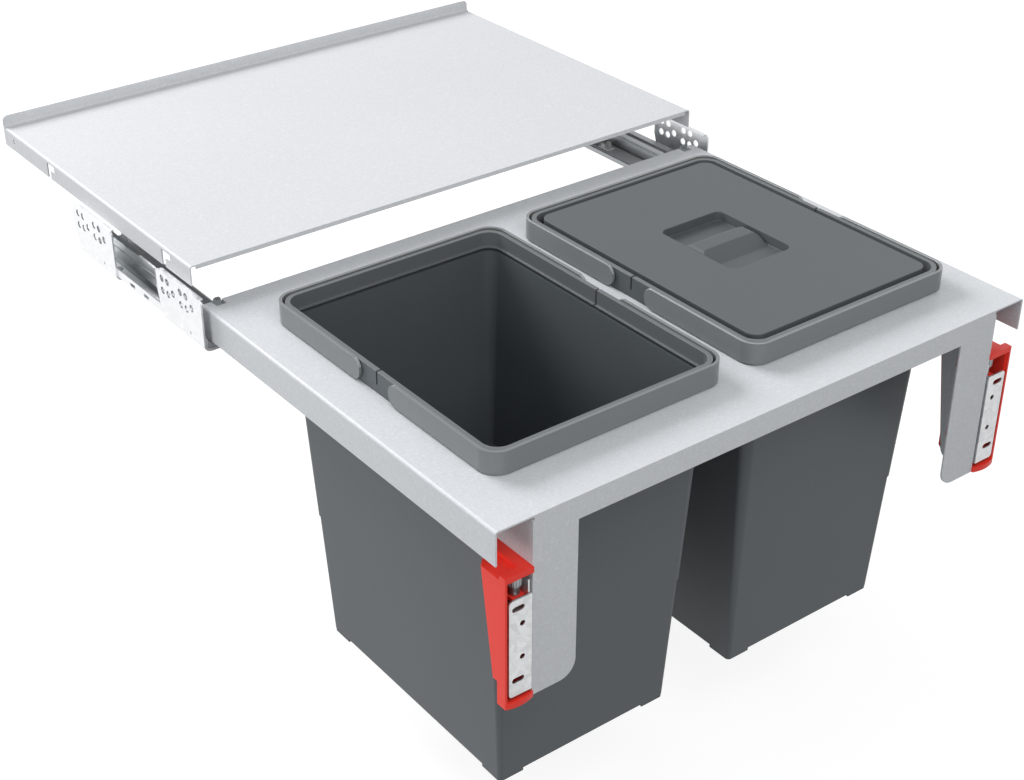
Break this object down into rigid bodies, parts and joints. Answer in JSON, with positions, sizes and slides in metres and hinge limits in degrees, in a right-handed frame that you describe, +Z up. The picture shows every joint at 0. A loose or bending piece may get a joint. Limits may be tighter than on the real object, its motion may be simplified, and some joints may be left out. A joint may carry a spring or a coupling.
{
  "type": "pull-out waste bin unit",
  "caption": "Pull-out kitchen waste unit: sheet tray with lift-out bins on ball-bearing runners under a fixed shelf, with adjustable door brackets.",
  "frame": {"origin": "centre of the fixed shelf's top face, midway between the cabinet's side walls", "axes": "+X to the right seen from the front, +Y towards the back of the cabinet, +Z up; the drawer is stored pulled out"},
  "size_m": [0.562, 0.7871, 0.36],
  "materials": {
    "silver_paint": "fine matt silver powder coat",
    "galvanised": "satin zinc",
    "zinc_steel": "satin zinc",
    "ball_steel": "polished",
    "cage_brass": "rolled",
    "damper_plastic": "fine grain",
    "catch_plastic": "smooth",
    "red_plastic": "smooth",
    "bin_plastic": "fine grain",
    "rim_plastic": "fine grain",
    "lid_plastic": "fine grain"
  },
  "bodies": {
    "cabinet_side": {"shelf_cover": "silver_paint", "mount_plate_front_left": "galvanised", "mount_plate_front_right": "galvanised", "mount_plate_rear_left": "galvanised", "mount_plate_rear_right": "galvanised", "fixed_rail_left": "zinc_steel", "fixed_rail_right": "zinc_steel", "plate_rivets_left": "zinc_steel", "plate_rivets_right": "zinc_steel", "damper_housing_left": "damper_plastic", "damper_housing_right": "damper_plastic"},
    "tray": {"tray_frame": "silver_paint", "drawer_rail_left": "zinc_steel", "drawer_rail_right": "zinc_steel", "adjuster_housing_left": "red_plastic", "adjuster_housing_right": "red_plastic"},
    "middle_left": {"middle_rail_left": "zinc_steel"},
    "inner_cage_left": {"inner_cage_left": "cage_brass", "inner_balls_left": "ball_steel"},
    "outer_cage_left": {"outer_cage_left": "cage_brass", "outer_balls_left": "ball_steel"},
    "catch_left": {"damper_catch_left": "catch_plastic"},
    "screw_left": {"adjuster_screw_left": "zinc_steel"},
    "door_plate_left": {"door_plate_left": "galvanised"},
    "bin_left": {"bin_left": "bin_plastic", "bag_ring_left_front": "rim_plastic", "bag_ring_left_rear": "rim_plastic"},
    "handle_left_front": {"handle_left_front": "rim_plastic"},
    "handle_left_rear": {"handle_left_rear": "rim_plastic"},
    "middle_right": {"middle_rail_right": "zinc_steel"},
    "inner_cage_right": {"inner_cage_right": "cage_brass", "inner_balls_right": "ball_steel"},
    "outer_cage_right": {"outer_cage_right": "cage_brass", "outer_balls_right": "ball_steel"},
    "catch_right": {"damper_catch_right": "catch_plastic"},
    "screw_right": {"adjuster_screw_right": "zinc_steel"},
    "door_plate_right": {"door_plate_right": "galvanised"},
    "bin_right": {"bin_right": "bin_plastic", "bag_ring_right_front": "rim_plastic", "bag_ring_right_rear": "rim_plastic"},
    "handle_right_front": {"handle_right_front": "rim_plastic"},
    "handle_right_rear": {"handle_right_rear": "rim_plastic"},
    "lid": {"lid": "lid_plastic"}
  },
  "joints": [
    {"name": "drawer_slide", "type": "slide", "parent": "cabinet_side", "child": "tray", "axis": [0, 1, 0], "range_m": [0, 0.378]},
    {"name": "middle_left_slide", "type": "slide", "parent": "cabinet_side", "child": "middle_left", "axis": [0, 1, 0], "range_m": [0, 0.1895]},
    {"name": "inner_cage_left_slide", "type": "slide", "parent": "cabinet_side", "child": "inner_cage_left", "axis": [0, 1, 0], "range_m": [0, 0.095]},
    {"name": "outer_cage_left_slide", "type": "slide", "parent": "cabinet_side", "child": "outer_cage_left", "axis": [0, 1, 0], "range_m": [0, 0.284]},
    {"name": "catch_left_slide", "type": "slide", "parent": "cabinet_side", "child": "catch_left", "axis": [0, 1, 0], "range_m": [0, 0.04]},
    {"name": "screw_left_turn", "type": "hinge", "parent": "tray", "child": "screw_left", "pos_m": [-0.2495, -0.5885, -0.092], "axis": [0, 0, 1], "range_deg": [-1081, 1081]},
    {"name": "door_plate_left_lift", "type": "slide", "parent": "tray", "child": "door_plate_left", "axis": [0, 0, 1], "range_m": [-0.003, 0.003]},
    {"name": "bin_left_lift", "type": "slide", "parent": "tray", "child": "bin_left", "axis": [0, 0, 1], "range_m": [0, 0.365]},
    {"name": "handle_left_front_swing", "type": "hinge", "parent": "bin_left", "child": "handle_left_front", "pos_m": [-0.126, -0.4255, -0.02], "axis": [-1, 0, 0], "range_deg": [0, 95]},
    {"name": "handle_left_rear_swing", "type": "hinge", "parent": "bin_left", "child": "handle_left_rear", "pos_m": [-0.126, -0.3735, -0.02], "axis": [1, 0, 0], "range_deg": [0, 95]},
    {"name": "middle_right_slide", "type": "slide", "parent": "cabinet_side", "child": "middle_right", "axis": [0, 1, 0], "range_m": [0, 0.1895]},
    {"name": "inner_cage_right_slide", "type": "slide", "parent": "cabinet_side", "child": "inner_cage_right", "axis": [0, 1, 0], "range_m": [0, 0.095]},
    {"name": "outer_cage_right_slide", "type": "slide", "parent": "cabinet_side", "child": "outer_cage_right", "axis": [0, 1, 0], "range_m": [0, 0.284]},
    {"name": "catch_right_slide", "type": "slide", "parent": "cabinet_side", "child": "catch_right", "axis": [0, 1, 0], "range_m": [0, 0.04]},
    {"name": "screw_right_turn", "type": "hinge", "parent": "tray", "child": "screw_right", "pos_m": [0.2495, -0.5885, -0.092], "axis": [0, 0, 1], "range_deg": [-1081, 1081]},
    {"name": "door_plate_right_lift", "type": "slide", "parent": "tray", "child": "door_plate_right", "axis": [0, 0, 1], "range_m": [-0.003, 0.003]},
    {"name": "bin_right_lift", "type": "slide", "parent": "tray", "child": "bin_right", "axis": [0, 0, 1], "range_m": [0, 0.365]},
    {"name": "handle_right_front_swing", "type": "hinge", "parent": "bin_right", "child": "handle_right_front", "pos_m": [0.126, -0.4255, -0.02], "axis": [-1, 0, 0], "range_deg": [0, 95]},
    {"name": "handle_right_rear_swing", "type": "hinge", "parent": "bin_right", "child": "handle_right_rear", "pos_m": [0.126, -0.3735, -0.02], "axis": [1, 0, 0], "range_deg": [0, 95]},
    {"name": "lid_lift", "type": "slide", "parent": "bin_right", "child": "lid", "axis": [0, 0, 1], "range_m": [0, 0.14]}
  ],
  "couplings": [
    {"joint": "middle_left_slide", "follows": "drawer_slide", "ratio": 0.5},
    {"joint": "inner_cage_left_slide", "follows": "drawer_slide", "ratio": 0.25},
    {"joint": "outer_cage_left_slide", "follows": "drawer_slide", "ratio": 0.75},
    {"joint": "screw_left_turn", "follows": "door_plate_left_lift", "rad_per_m": 6283.2},
    {"joint": "middle_right_slide", "follows": "drawer_slide", "ratio": 0.5},
    {"joint": "inner_cage_right_slide", "follows": "drawer_slide", "ratio": 0.25},
    {"joint": "outer_cage_right_slide", "follows": "drawer_slide", "ratio": 0.75},
    {"joint": "screw_right_turn", "follows": "door_plate_right_lift", "rad_per_m": 6283.2}
  ]
}
